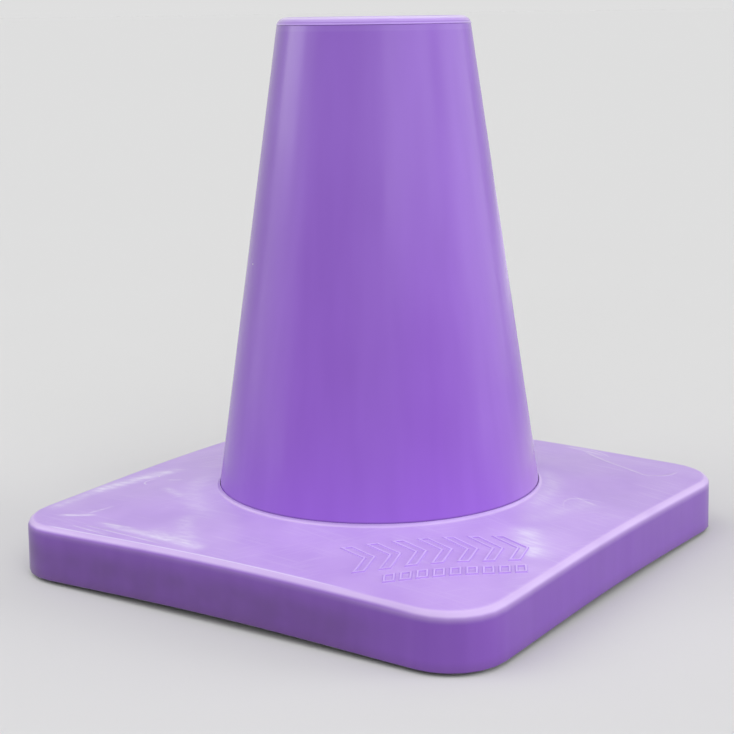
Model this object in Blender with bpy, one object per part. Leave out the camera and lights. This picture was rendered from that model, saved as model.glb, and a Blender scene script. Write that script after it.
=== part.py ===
"""Marker cone with a weighted square base.

Three pieces come apart on a bench: the tapered sleeve with its in-turned rim and
foot flange, the square base cover with its skirt and flare, and the rubber
ballast plate that closes the base from below. The sleeve is put through the
cover from underneath, four ribs of the cover key into its flange, and the plate
snaps over a bead inside the skirt and traps the flange.

Metres, +Z up. The origin is on the floor under the middle of the base, and the
sides of the base lie along X and Y.
"""

import math

import bmesh
import bpy

# Whole cone
OVERALL_HEIGHT = 0.3000  # floor to the top of the rim
FIT_GAP = 0.0003  # between pieces that touch
OVERRUN = 0.0020  # how far a cutter runs past what it cuts

# Base cover, outside
BASE_SIDE = 0.2994  # across the skirt at its hem
CORNER_RADIUS = 0.0317  # plan corners of the skirt
HEM_HEIGHT = 0.0020  # floor to the hem at the corners
SIDE_CROWN = 0.0025  # the middle of a side stands this much higher than its corners
SKIRT_TOP = 0.0275  # floor to where the skirt turns into its rounded edge
SKIRT_DRAFT = 0.0004  # the skirt leans in this far from its hem to its top
EDGE_RADIUS = 0.0046  # rounded top edge of the skirt
TOP_RISE = 0.0085  # the base top climbs this far from its edge to the flare
TOP_CURVE_SHARE = 1.15  # above 1 the base top is steeper near the flare

# Base cover, flare round the sleeve
FLARE_RADIUS = 0.0017  # hollow curve in which the base top sweeps up to the sleeve
FLARE_LIP = 0.0004  # thin level edge at the top of the flare

# Base cover, inside
COVER_WALL = 0.0030
INNER_EDGE_RADIUS = 0.0020
HEM_ROUND = 0.0006
HOLE_LEAD = 0.0008  # chamfer that guides the sleeve into the hole
BEAD_HEIGHT = 0.0065  # floor to the underside of the snap bead, which runs level
BEAD_REACH = 0.0015
BEAD_LAND = 0.0008
BEAD_SLOPE = 0.0003  # the bead's top falls this far to its edge
RIB_THICKNESS = 0.0022
RIB_SINK = 0.0015  # how far a rib is rooted in the cover's wall
RIB_SPREAD_SHARE = 0.3125  # the outer ribs of a side, from its middle, as a share of its columns

# Sleeve
FOOT_RADIUS = 0.0907  # outside, where the sleeve leaves the flare
TOP_RADIUS = 0.0519  # outside, where the wall's line would reach the top
SLEEVE_WALL = 0.0030
RIM_RADIUS = 0.0055  # rounded top edge
RIM_START = 22  # degrees above level that the rounding faces where it meets the wall
PARTING_REACH = 0.0003  # fine ridge under the rounded rim, where the mould parts
PARTING_HEIGHT = 0.0008
INNER_RIM_ROUND = 0.0020
MOUTH_RADIUS = 0.0300  # opening in the top
MOUTH_LIP_DEPTH = 0.0070  # the rim turns down round the opening to this depth
MOUTH_LIP_WALL = 0.0028
MOUTH_ROUND = 0.0010
FLANGE_REACH = 0.0080  # past the outside of the wall
FLANGE_THICKNESS = 0.0030
FLANGE_ROUND = 0.0006
FLANGE_FILLET = 0.0015
KEY_CLEARANCE = 0.0005  # each side of a key rib in its notch

# Ballast plate
PLATE_THICKNESS = 0.0140
PLATE_ROUND = 0.0010
PLATE_REVEAL = 0.0010  # the bore is this much wider than the inside of the sleeve that stands over it
PAD_HEIGHT = 0.0050  # the plate stands on its pads, this far off the floor
PAD_RADIUS = 0.0100
PAD_DRAFT = 0.0012
PAD_INSET = 0.0210  # pad centre from the plate's side
PAD_SINK = 0.0010
PADS_PER_SIDE = 4

# How finely round shapes are divided
TURN_STEPS = 88
SIDE_STEPS = 16
CORNER_STEPS = 6
LOFT_STEPS = 5
UNDER_LOFT_STEPS = 3
ROUND_STEPS = 4
EDGE_STEPS = 6
INNER_EDGE_STEPS = 2
PAD_STEPS = 16
SMOOTH_ANGLE = math.radians(30)

# Sizes that follow from the ones above
BASE_TOP = SKIRT_TOP + EDGE_RADIUS + TOP_RISE
FLARE_TOP = BASE_TOP + FLARE_RADIUS
SLEEVE_SLOPE = (FOOT_RADIUS - TOP_RADIUS) / (OVERALL_HEIGHT - FLARE_TOP)
RADIAL_WALL = SLEEVE_WALL * math.hypot(1, SLEEVE_SLOPE)
UNDER_TOP = BASE_TOP - COVER_WALL
UNDER_EDGE = SKIRT_TOP + EDGE_RADIUS - COVER_WALL
PLATE_TOP = PAD_HEIGHT + PLATE_THICKNESS
FLANGE_BOTTOM = PLATE_TOP + FIT_GAP
FLANGE_TOP = FLANGE_BOTTOM + FLANGE_THICKNESS
BEAD_TOP = BEAD_HEIGHT + BEAD_REACH + BEAD_LAND
LEDGE_HEIGHT = BEAD_TOP + FIT_GAP
SPREAD = math.pi / 2  # one quarter of the base

PURPLE = (0.300, 0.125, 0.600)
PURPLE_BASE = (0.325, 0.140, 0.620)
RUBBER_BLACK = (0.020, 0.020, 0.022)
VINYL_ROUGHNESS = 0.42
RUBBER_ROUGHNESS = 0.85


def clear_scene():
    for item in list(bpy.data.objects):
        bpy.data.objects.remove(item, do_unlink=True)


def plastic(name, colour, roughness):
    """A plain moulded finish."""
    finish = bpy.data.materials.new(name)
    finish.use_nodes = True
    shader = finish.node_tree.nodes["Principled BSDF"]
    shader.inputs["Base Color"].default_value = (*colour, 1)
    shader.inputs["Roughness"].default_value = roughness
    shader.inputs["Metallic"].default_value = 0
    finish.diffuse_color = (*colour, 1)
    return finish


def sleeve_radius(height):
    """Outside of the sleeve's straight wall."""
    return FOOT_RADIUS - SLEEVE_SLOPE * (height - FLARE_TOP)


def skirt_half(height):
    """Half the width of the skirt's outside, which narrows upwards by its draft."""
    share = (height - HEM_HEIGHT) / (SKIRT_TOP - HEM_HEIGHT)
    return BASE_SIDE / 2 - SKIRT_DRAFT * share


def arc(centre_r, centre_z, reach_r, reach_z, start, end, steps):
    """Points (radius, height) along part of an ellipse, from start to end in degrees."""
    points = []
    for step in range(steps + 1):
        angle = math.radians(start + (end - start) * step / steps)
        points.append((centre_r + reach_r * math.cos(angle), centre_z + reach_z * math.sin(angle)))
    return points


def side_shares():
    """Places along a straight side, from -1 to 1, at even angles seen from the axis."""
    straight = BASE_SIDE / 2 - CORNER_RADIUS
    limit = math.atan2(straight, BASE_SIDE / 2)
    angles = [limit * (2 * step / SIDE_STEPS - 1) for step in range(SIDE_STEPS + 1)]
    return [math.tan(angle) / math.tan(limit) for angle in angles]


def square_plan(inset):
    """The skirt's rounded square, moved in by inset, with one point for each column."""
    half = BASE_SIDE / 2 - inset
    corner = max(CORNER_RADIUS - inset, FIT_GAP)
    straight = half - corner
    quarter = [(half, share * straight) for share in side_shares()]
    for step in range(1, CORNER_STEPS):
        angle = SPREAD * step / CORNER_STEPS
        quarter.append((straight + corner * math.cos(angle), straight + corner * math.sin(angle)))
    points = []
    for turn in range(4):
        c, s = math.cos(turn * SPREAD), math.sin(turn * SPREAD)
        points += [(c * x - s * y, s * x + c * y) for x, y in quarter]
    return points


def round_plan(radius):
    """A circle whose points lie on the same columns as the square's."""
    return [(x * radius / math.hypot(x, y), y * radius / math.hypot(x, y)) for x, y in square_plan(0)]


def mixed_plan(first, second, share):
    """A plan part of the way from the first to the second."""
    return [(a + (c - a) * share, b + (d - b) * share) for (a, b), (c, d) in zip(first, second)]


def crown(x, y):
    """How far the soft base arches up there: most in the middle of a side, nothing at the corners or the foot."""
    far, near = max(abs(x), abs(y)), min(abs(x), abs(y))
    start = sleeve_radius(FLANGE_BOTTOM) + FLANGE_REACH
    share = min(max((far - start) / (BASE_SIDE / 2 - start), 0), 1)
    return SIDE_CROWN * share * share * (3 - 2 * share) * (1 - (near / far) ** 2) ** 2


def raised(plan, height):
    """A plan at a height, with no crown."""
    return [(x, y, height) for x, y in plan]


def crowned(plan, height):
    """A plan at a height, arched along the base's sides."""
    return [(x, y, height + crown(x, y)) for x, y in plan]


def finish_mesh(name, bm, finish):
    """Turns the faces outwards, shades round surfaces smooth and puts the object in the scene."""
    bmesh.ops.recalc_face_normals(bm, faces=bm.faces)
    mesh = bpy.data.meshes.new(name)
    bm.to_mesh(mesh)
    bm.free()
    mesh.shade_smooth()
    mesh.set_sharp_from_angle(angle=SMOOTH_ANGLE)
    if finish:
        mesh.materials.append(finish)
    item = bpy.data.objects.new(name, mesh)
    bpy.context.collection.objects.link(item)
    return item


def turned_piece(name, profile, finish):
    """Turns a closed profile of (radius, height) points round the Z axis."""
    bm = bmesh.new()
    corners = [bm.verts.new((radius, 0, height)) for radius, height in profile]
    sides = [bm.edges.new(pair) for pair in zip(corners, corners[1:] + corners[:1])]
    bmesh.ops.spin(
        bm,
        geom=corners + sides,
        cent=(0, 0, 0),
        axis=(0, 0, 1),
        angle=math.tau,
        steps=TURN_STEPS,
        use_merge=True,
    )
    return finish_mesh(name, bm, finish)


def lofted_piece(name, loops, finish):
    """Skins each loop to the next and the last back to the first."""
    bm = bmesh.new()
    rows = [[bm.verts.new(point) for point in loop] for loop in loops]
    for row, following in zip(rows, rows[1:] + rows[:1]):
        for column in range(len(row)):
            bm.faces.new((row[column - 1], row[column], following[column], following[column - 1]))
    return finish_mesh(name, bm, finish)


def add_plate(bm, outline, direction, thickness):
    """A flat plate that stands on edge along a direction from the axis, from its (radius, height) outline."""
    along_x, along_y = direction
    faces = []
    for side in (-thickness / 2, thickness / 2):
        points = [(r * along_x - side * along_y, r * along_y + side * along_x, z) for r, z in outline]
        faces.append([bm.verts.new(point) for point in points])
    bm.faces.new(faces[0])
    bm.faces.new(faces[1])
    for i in range(len(outline)):
        bm.faces.new((faces[0][i - 1], faces[0][i], faces[1][i], faces[1][i - 1]))


def boolean(target, tool, operation):
    """Joins or cuts with a tool object, which isn't part of the model itself."""
    tool.hide_render = True
    tool.display_type = "WIRE"
    change = target.modifiers.new(tool.name, "BOOLEAN")
    change.operation = operation
    change.solver = "EXACT"
    change.object = tool


def rib_columns():
    """Four ribs to a quarter: the middle of the side, one each side of it, and the corner."""
    per_quarter = SIDE_STEPS + CORNER_STEPS
    spread = round(SIDE_STEPS * RIB_SPREAD_SHARE)
    corner = SIDE_STEPS + CORNER_STEPS // 2
    middle = SIDE_STEPS // 2
    plain = [quarter * per_quarter + middle + shift for quarter in range(4) for shift in (-spread, 0, spread)]
    keys = [quarter * per_quarter + corner for quarter in range(4)]
    return plain, keys


def column_ray(column):
    """Direction of a column seen from the axis, and how far out the inside of the skirt is along it."""
    x, y = square_plan(COVER_WALL + SKIRT_DRAFT)[column]
    reach = math.hypot(x, y)
    return (x / reach, y / reach), reach


def sleeve_profile():
    """The wall, from the opening's lip down the inside to the flange, and up the outside to the rim."""
    start = math.radians(RIM_START)
    rim_low = OVERALL_HEIGHT - RIM_RADIUS * (1 - math.sin(start))
    rim_centre = sleeve_radius(rim_low) - RIM_RADIUS * math.cos(start)
    inner_z = OVERALL_HEIGHT - SLEEVE_WALL
    lip_low = OVERALL_HEIGHT - MOUTH_LIP_DEPTH
    lip_far = MOUTH_RADIUS + MOUTH_LIP_WALL
    wall_in = sleeve_radius(inner_z - INNER_RIM_ROUND) - RADIAL_WALL
    flange_far = sleeve_radius(FLANGE_BOTTOM) + FLANGE_REACH
    ridge_low = rim_low - PARTING_HEIGHT
    ridge_mid = rim_low - PARTING_HEIGHT / 2

    opening = arc(
        MOUTH_RADIUS + MOUTH_ROUND, OVERALL_HEIGHT - MOUTH_ROUND, MOUTH_ROUND, MOUTH_ROUND, 90, 180, ROUND_STEPS
    )
    lip_end = arc(
        MOUTH_RADIUS + MOUTH_LIP_WALL / 2,
        lip_low + MOUTH_LIP_WALL / 2,
        MOUTH_LIP_WALL / 2,
        MOUTH_LIP_WALL / 2,
        180,
        360,
        ROUND_STEPS,
    )
    under_rim = [(lip_far, inner_z)]
    inner_round = arc(
        wall_in - INNER_RIM_ROUND,
        inner_z - INNER_RIM_ROUND,
        INNER_RIM_ROUND,
        INNER_RIM_ROUND,
        90,
        0,
        ROUND_STEPS // 2,
    )
    inside_foot = [(sleeve_radius(FLANGE_BOTTOM) - RADIAL_WALL, FLANGE_BOTTOM)]
    flange = [
        (flange_far - FLANGE_ROUND, FLANGE_BOTTOM),
        (flange_far, FLANGE_BOTTOM + FLANGE_ROUND),
        (flange_far, FLANGE_TOP - FLANGE_ROUND),
        (flange_far - FLANGE_ROUND, FLANGE_TOP),
    ]
    fillet = arc(
        sleeve_radius(FLANGE_TOP + FLANGE_FILLET) + FLANGE_FILLET,
        FLANGE_TOP + FLANGE_FILLET,
        FLANGE_FILLET,
        FLANGE_FILLET,
        270,
        180,
        ROUND_STEPS // 2,
    )
    parting = [
        (sleeve_radius(ridge_low), ridge_low),
        (sleeve_radius(ridge_mid) + PARTING_REACH, ridge_mid),
    ]
    rim = arc(rim_centre, OVERALL_HEIGHT - RIM_RADIUS, RIM_RADIUS, RIM_RADIUS, RIM_START, 90, EDGE_STEPS)
    return opening + lip_end + under_rim + inner_round + inside_foot + flange + fillet + parting + rim


def make_sleeve(finish):
    """Tapered sleeve. Four notches in its flange take the cover's key ribs."""
    sleeve = turned_piece("cone_sleeve", sleeve_profile(), finish)
    notches = bmesh.new()
    root = sleeve_radius(FLANGE_BOTTOM) + FLANGE_FILLET
    far = sleeve_radius(FLANGE_BOTTOM) + FLANGE_REACH + OVERRUN
    low, high = FLANGE_BOTTOM - OVERRUN, FLANGE_TOP + OVERRUN
    outline = [(root, low), (far, low), (far, high), (root, high)]
    for column in rib_columns()[1]:
        direction = column_ray(column)[0]
        add_plate(notches, outline, direction, RIB_THICKNESS + 2 * KEY_CLEARANCE)
    boolean(sleeve, finish_mesh("flange_notches", notches, None), "DIFFERENCE")
    return sleeve


def flare_loops():
    """Hole and flare of the cover, from the underside of the hole out to the flare's foot."""
    hole_low = sleeve_radius(UNDER_TOP) + FIT_GAP
    hole_high = sleeve_radius(FLARE_TOP) + FIT_GAP
    foot = hole_high + FLARE_LIP + FLARE_RADIUS
    profile = [
        (hole_low + HOLE_LEAD, UNDER_TOP),
        (hole_low, UNDER_TOP + HOLE_LEAD),
        (hole_high, FLARE_TOP),
    ]
    profile += arc(foot, FLARE_TOP, FLARE_RADIUS, FLARE_RADIUS, 180, 270, ROUND_STEPS)
    return [raised(round_plan(radius), height) for radius, height in profile], foot


def top_loops(foot):
    """The base top, lofted from the flare's round foot to the square edge, and the rounded edge itself."""
    edge_inset = BASE_SIDE / 2 - skirt_half(SKIRT_TOP)
    start, end = round_plan(foot), square_plan(edge_inset + EDGE_RADIUS)
    loops = []
    for step in range(1, LOFT_STEPS + 1):
        share = step / LOFT_STEPS
        drop = TOP_RISE * (1 - (1 - share) ** TOP_CURVE_SHARE)
        loops.append(crowned(mixed_plan(start, end, share), BASE_TOP - drop))
    for step in range(1, EDGE_STEPS + 1):
        angle = SPREAD * step / EDGE_STEPS
        inset = edge_inset + EDGE_RADIUS * (1 - math.sin(angle))
        loops.append(crowned(square_plan(inset), SKIRT_TOP + EDGE_RADIUS * math.cos(angle)))
    return loops


def skirt_loops():
    """The skirt's arched hem, and its inside with the level snap bead, up to the rounded inner edge."""
    hem = [
        (0, HEM_HEIGHT + HEM_ROUND),
        (HEM_ROUND, HEM_HEIGHT),
        (COVER_WALL - HEM_ROUND, HEM_HEIGHT),
        (COVER_WALL, HEM_HEIGHT + HEM_ROUND),
    ]
    bead = [
        (COVER_WALL, BEAD_HEIGHT),
        (COVER_WALL + BEAD_REACH, BEAD_HEIGHT + BEAD_REACH),
        (COVER_WALL + BEAD_REACH, BEAD_TOP - BEAD_SLOPE),
        (COVER_WALL, BEAD_TOP),
    ]
    inner_edge = []
    wall = BASE_SIDE / 2 - skirt_half(SKIRT_TOP) + COVER_WALL
    for step in range(INNER_EDGE_STEPS + 1):
        angle = SPREAD * step / INNER_EDGE_STEPS
        inset = wall + INNER_EDGE_RADIUS * (1 - math.cos(angle))
        inner_edge.append((inset, UNDER_EDGE - INNER_EDGE_RADIUS * (1 - math.sin(angle))))
    loops = [crowned(square_plan(inset), height) for inset, height in hem]
    loops += [raised(square_plan(inset), height) for inset, height in bead]
    loops += [crowned(square_plan(inset), height) for inset, height in inner_edge]
    return loops


def under_loops(foot):
    """The underside of the base top, lofted back from the square to the round foot."""
    inset = BASE_SIDE / 2 - skirt_half(SKIRT_TOP) + COVER_WALL + INNER_EDGE_RADIUS
    start, end = square_plan(inset), round_plan(foot)
    loops = []
    for step in range(1, UNDER_LOFT_STEPS + 1):
        share = step / UNDER_LOFT_STEPS
        height = UNDER_EDGE + TOP_RISE * share**TOP_CURVE_SHARE
        loops.append(crowned(mixed_plan(start, end, share), height))
    return loops


def add_ribs(cover):
    """Radial ribs under the cover. Plain ones stop over the flange, key ribs reach the plate beside the sleeve."""
    ribs = bmesh.new()
    plain, keys = rib_columns()
    flange_far = sleeve_radius(FLANGE_BOTTOM) + FLANGE_REACH
    root = sleeve_radius(FLANGE_BOTTOM) + FLANGE_FILLET + KEY_CLEARANCE
    low = PLATE_TOP + FIT_GAP
    for column in plain + keys:
        direction, reach = column_ray(column)
        far = reach + RIB_SINK
        bend = reach - INNER_EDGE_RADIUS
        lift = crown(bend * direction[0], bend * direction[1])
        upper = [(far, SKIRT_TOP), (bend, UNDER_EDGE + lift + RIB_SINK), (root, UNDER_TOP + RIB_SINK)]
        if column in keys:
            lower = [(root, low), (far, low)]
        else:
            step_z = FLANGE_TOP + FIT_GAP
            step_r = flange_far + FIT_GAP
            lower = [(root, step_z), (step_r, step_z), (step_r, low), (far, low)]
        add_plate(ribs, lower + upper, direction, RIB_THICKNESS)
    boolean(cover, finish_mesh("cover_ribs", ribs, None), "UNION")


def make_cover(finish):
    """Square base cover: one skin from the hole, over the top, round the skirt and back underneath."""
    hole, foot = flare_loops()
    loops = hole + top_loops(foot) + skirt_loops() + under_loops(foot)
    cover = lofted_piece("base_cover", loops, finish)
    add_ribs(cover)
    return cover


def add_pad(bm, x, y):
    """A round foot, a little narrower at the floor, rooted in the plate."""
    rows = []
    for radius, height in ((PAD_RADIUS - PAD_DRAFT, 0), (PAD_RADIUS, PAD_HEIGHT + PAD_SINK)):
        row = []
        for step in range(PAD_STEPS):
            angle = math.tau * step / PAD_STEPS
            row.append(bm.verts.new((x + radius * math.cos(angle), y + radius * math.sin(angle), height)))
        rows.append(row)
    bm.faces.new(rows[0])
    bm.faces.new(rows[1])
    for i in range(PAD_STEPS):
        bm.faces.new((rows[0][i - 1], rows[0][i], rows[1][i], rows[1][i - 1]))


def make_plate(finish):
    """Ballast plate: stepped sides that rest on the skirt's bead, a round bore under the sleeve, and pads."""
    side = COVER_WALL + SKIRT_DRAFT + FIT_GAP
    low_side = COVER_WALL + BEAD_REACH + FIT_GAP
    bore = sleeve_radius(FLANGE_BOTTOM) - RADIAL_WALL + PLATE_REVEAL
    loops = [
        raised(square_plan(low_side + PLATE_ROUND), PAD_HEIGHT),
        raised(square_plan(low_side), PAD_HEIGHT + PLATE_ROUND),
        raised(square_plan(low_side), LEDGE_HEIGHT),
        raised(square_plan(side), LEDGE_HEIGHT),
        raised(square_plan(side), PLATE_TOP - PLATE_ROUND),
        raised(square_plan(side + PLATE_ROUND), PLATE_TOP),
        raised(round_plan(bore + PLATE_ROUND), PLATE_TOP),
        raised(round_plan(bore), PLATE_TOP - PLATE_ROUND),
        raised(round_plan(bore), PAD_HEIGHT + PLATE_ROUND),
        raised(round_plan(bore + PLATE_ROUND), PAD_HEIGHT),
    ]
    plate = lofted_piece("ballast_plate", loops, finish)
    pads = bmesh.new()
    far = BASE_SIDE / 2 - low_side - PAD_INSET
    places = [far * (2 * step / (PADS_PER_SIDE - 1) - 1) for step in range(PADS_PER_SIDE)]
    for x in places:
        for y in places:
            if far in (abs(x), abs(y)):
                add_pad(pads, x, y)
    boolean(plate, finish_mesh("plate_pads", pads, None), "UNION")
    return plate


def main():
    clear_scene()
    make_sleeve(plastic("sleeve_purple", PURPLE, VINYL_ROUGHNESS))
    make_cover(plastic("cover_purple", PURPLE_BASE, VINYL_ROUGHNESS))
    make_plate(plastic("ballast_rubber", RUBBER_BLACK, RUBBER_ROUGHNESS))


main()
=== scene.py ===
# %% [markdown]
# # A purple marker cone, dressed for a studio picture
#
# The CAD side hands over three plain solids: a tapered sleeve, a square base
# cover and the rubber ballast plate that closes the base from below. Their
# shapes are right and stay as they are. This lesson gives them the finishes
# that moulded vinyl and rubber have, lays a thin relief on the base, and sets
# up a camera, a pale floor and soft lights.
#
# Each cell builds one thing, and most print what they made, so the cells can be
# run one after another as in a notebook.

# %% Load the frame
import math

import bmesh
import bpy
from mathutils import Matrix, Vector
from mathutils.bvhtree import BVHTree


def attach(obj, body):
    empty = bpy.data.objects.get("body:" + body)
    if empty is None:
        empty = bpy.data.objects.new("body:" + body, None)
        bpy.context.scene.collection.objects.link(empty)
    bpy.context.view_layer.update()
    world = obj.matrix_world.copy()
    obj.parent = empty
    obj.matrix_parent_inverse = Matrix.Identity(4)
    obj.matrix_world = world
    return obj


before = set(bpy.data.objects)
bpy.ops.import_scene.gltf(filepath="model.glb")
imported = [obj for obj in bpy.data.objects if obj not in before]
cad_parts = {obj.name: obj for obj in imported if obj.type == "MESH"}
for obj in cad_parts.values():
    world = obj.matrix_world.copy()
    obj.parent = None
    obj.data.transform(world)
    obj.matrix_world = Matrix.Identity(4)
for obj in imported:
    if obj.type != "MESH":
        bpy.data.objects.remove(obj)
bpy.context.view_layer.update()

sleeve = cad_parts["cone_sleeve"]
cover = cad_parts["base_cover"]
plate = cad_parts["ballast_plate"]

# %% [markdown]
# ## Smooth shading on CAD triangles
#
# The solids come as loose triangles, each with its own corners, so they look
# faceted. A real moulding is smooth everywhere except at a few crisp edges.
#
# One could subdivide the mesh, but that would round those edges too. Three
# modifiers do it without moving a single point: Weld joins the split corners,
# Edge Split parts the surface again where it turns sharply, and Weighted Normal
# lets the large faces set the shading, so that flats stay flat beside fillets.

# %% Smooth the three mouldings
SAME_PLACE = 0.00001
CRISP_TURN = math.radians(32)


def smooth_moulding(node):
    """Shades a node's rounded faces as one surface and keeps its crisp edges."""
    mesh = node.data
    for leftover in ("custom_normal", "sharp_edge"):
        if leftover in mesh.attributes:
            mesh.attributes.remove(mesh.attributes[leftover])
    mesh.shade_smooth()
    join = node.modifiers.new("join split corners", "WELD")
    join.merge_threshold = SAME_PLACE
    part = node.modifiers.new("keep crisp edges", "EDGE_SPLIT")
    part.split_angle = CRISP_TURN
    node.modifiers.new("let large faces lead", "WEIGHTED_NORMAL")


for moulding in (sleeve, cover, plate):
    smooth_moulding(moulding)
    print(moulding.name, len(moulding.data.polygons), "triangles, smoothed")

# %% [markdown]
# ## The camera
#
# The picture was taken from about the height of the rim, a little less than a
# metre away, looking down by twelve degrees onto one corner of the base. The
# lens is long, so the near corner doesn't look much larger than the far ones.
#
# A camera can be aimed with a constraint, but a matched view needs its exact
# turn. So the matrix is written out: the columns are the camera's right side,
# its up side and the way back from what it looks at.

# %% Place the camera
PICTURE_SIDE = 734
SENSOR_WIDTH = 36.0
CAMERA_PLACE = Vector((0.50953, -0.76290, 0.30233))
CAMERA_PAN = -0.59559
CAMERA_PITCH = -0.21051
CAMERA_ROLL = -0.01383
FOCAL_PIXELS = 1661.6
FAR_AWAY = 1000.0


def camera_matrix(place, pan, pitch, roll):
    """A camera's place and turn, from its heading, its tilt and its lean."""
    ahead = Vector((math.sin(pan) * math.cos(pitch), math.cos(pan) * math.cos(pitch), math.sin(pitch)))
    level = Vector((math.cos(pan), -math.sin(pan), 0))
    above = level.cross(ahead)
    right = math.cos(roll) * level + math.sin(roll) * above
    up = math.cos(roll) * above - math.sin(roll) * level
    turn = Matrix((right, up, -ahead)).transposed()
    return Matrix.Translation(place) @ turn.to_4x4()


camera_data = bpy.data.cameras.new("picture_camera")
camera_data.sensor_width = SENSOR_WIDTH
camera_data.lens = SENSOR_WIDTH * FOCAL_PIXELS / PICTURE_SIDE
camera_data.clip_end = FAR_AWAY
camera = bpy.data.objects.new("picture_camera", camera_data)
camera.matrix_world = camera_matrix(CAMERA_PLACE, CAMERA_PAN, CAMERA_PITCH, CAMERA_ROLL)
bpy.context.scene.collection.objects.link(camera)
bpy.context.scene.camera = camera
print("lens %.1f mm" % camera_data.lens)

# %% [markdown]
# ## Building shader nodes with small helpers
#
# A finish is a network of nodes. Clicking it together is quick for one
# material, but the ones here share their grain, their drifting colour, their
# marks and their rubbed edges. So each effect is a node group with named inputs,
# and short helpers make one node each and hand back its output, which reads
# like a sentence.
#
# Where a mask fades, four numbers say how: where it starts and ends, and what
# it is before and after. They are kept together under one name.

# %% Helpers for node trees
NUMBER = "NodeSocketFloat"
COLOUR = "NodeSocketColor"
PATCH_FADE = (0.3, 0.7)


def feed(tree, socket, value):
    """Links a socket to another one, or sets it to a plain value."""
    if isinstance(value, bpy.types.NodeSocket):
        tree.links.new(value, socket)
    else:
        socket.default_value = value


def calc(tree, operation, *values):
    """One Math node."""
    node = tree.nodes.new("ShaderNodeMath")
    node.operation = operation
    for socket, value in zip(node.inputs, values):
        feed(tree, socket, value)
    return node.outputs["Value"]


def times(tree, first, *others):
    """The product of two or more values."""
    for value in others:
        first = calc(tree, "MULTIPLY", first, value)
    return first


def soft_step(tree, value, start, end, low=0.0, high=1.0):
    """Goes smoothly from low to high while value goes from start to end."""
    node = tree.nodes.new("ShaderNodeMapRange")
    node.interpolation_type = "SMOOTHSTEP"
    titles = ("Value", "From Min", "From Max", "To Min", "To Max")
    for title, setting in zip(titles, (value, start, end, low, high)):
        feed(tree, node.inputs[title], setting)
    return node.outputs["Result"]


def blend(tree, share, first, second):
    """Mixes two colours."""
    node = tree.nodes.new("ShaderNodeMix")
    node.data_type = "RGBA"
    pick = {socket.identifier: socket for socket in node.inputs}
    feed(tree, pick["Factor_Float"], share)
    feed(tree, pick["A_Color"], first)
    feed(tree, pick["B_Color"], second)
    return next(socket for socket in node.outputs if socket.identifier == "Result_Color")


def where(tree):
    """The place on the part, in metres."""
    return tree.nodes.new("ShaderNodeTexCoord").outputs["Object"]


def along(tree, vector):
    """The three parts of a vector."""
    node = tree.nodes.new("ShaderNodeSeparateXYZ")
    feed(tree, node.inputs["Vector"], vector)
    return node.outputs["X"], node.outputs["Y"], node.outputs["Z"]


def facing(tree):
    """The three parts of the surface's direction. The last one is 1 where it looks up."""
    return along(tree, tree.nodes.new("ShaderNodeNewGeometry").outputs["Normal"])


def joined(tree, x, y, z):
    """A vector from its three parts."""
    node = tree.nodes.new("ShaderNodeCombineXYZ")
    for title, value in (("X", x), ("Y", y), ("Z", z)):
        feed(tree, node.inputs[title], value)
    return node.outputs["Vector"]


def cloud(tree, vector, size, detail=2.0):
    """Noise from 0 to 1, whose lumps are about one size across."""
    node = tree.nodes.new("ShaderNodeTexNoise")
    feed(tree, node.inputs["Vector"], vector)
    feed(tree, node.inputs["Scale"], calc(tree, "DIVIDE", 1.0, size))
    node.inputs["Detail"].default_value = detail
    return node.outputs["Fac"]


def patches(tree, size, low, high, detail=2.0):
    """Drifts between low and high in soft patches that are about one size across."""
    return soft_step(tree, cloud(tree, where(tree), size, detail), *PATCH_FADE, low, high)


def new_group(title, inputs, outputs):
    """An empty node group, with what it is given and what it gives back."""
    tree = bpy.data.node_groups.new(title, "ShaderNodeTree")
    for name, kind, setting in inputs:
        tree.interface.new_socket(name, in_out="INPUT", socket_type=kind).default_value = setting
    for name, kind in outputs:
        tree.interface.new_socket(name, in_out="OUTPUT", socket_type=kind)
    given = tree.nodes.new("NodeGroupInput").outputs
    result = tree.nodes.new("NodeGroupOutput").inputs
    return tree, given, result


def use(tree, group, **settings):
    """Places a group in a material or another group, and gives its outputs."""
    node = tree.nodes.new("ShaderNodeGroup")
    node.node_tree = group
    node.label = group.name
    for name, value in settings.items():
        feed(tree, node.inputs[name.replace("_", " ")], value)
    return node.outputs


print("helpers ready")

# %% [markdown]
# ## Moulded grain
#
# A mould is never perfectly flat, and neither is what comes out of it. Close
# up there is a fine grain, less than a millimetre across, and every few
# centimetres the wall ripples by about a tenth of a millimetre. The grain
# softens the gloss, the ripple makes long highlights wander.
#
# Both could be painted into the roughness alone, but a height in metres that
# feeds a Bump node behaves alike under every light.

# %% Group: moulded grain
def build_moulded_grain():
    tree, given, result = new_group(
        "Moulded grain",
        [
            ("Grain Size", NUMBER, 0.0006),
            ("Grain Height", NUMBER, 0.00001),
            ("Ripple Size", NUMBER, 0.03),
            ("Ripple Height", NUMBER, 0.0001),
        ],
        [("Height", NUMBER)],
    )
    place = where(tree)
    grain = times(tree, cloud(tree, place, given["Grain Size"], 1.0), given["Grain Height"])
    ripple = times(tree, cloud(tree, place, given["Ripple Size"], 0.0), given["Ripple Height"])
    feed(tree, result["Height"], calc(tree, "ADD", grain, ripple))
    return tree


moulded_grain = build_moulded_grain()
print("group:", moulded_grain.name)

# %% [markdown]
# ## Pigment drift
#
# Pigment is never stirred in quite evenly. Across a moulding the colour drifts
# a few hundredths lighter and darker, in clouds as large as a palm and in
# faint streaks along the way the vinyl flowed.

# %% Group: pigment drift
FLOW_SQUEEZE = 0.06
STREAK_SHARE = 0.5
BRIGHTNESS_GAIN = 4.0


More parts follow.
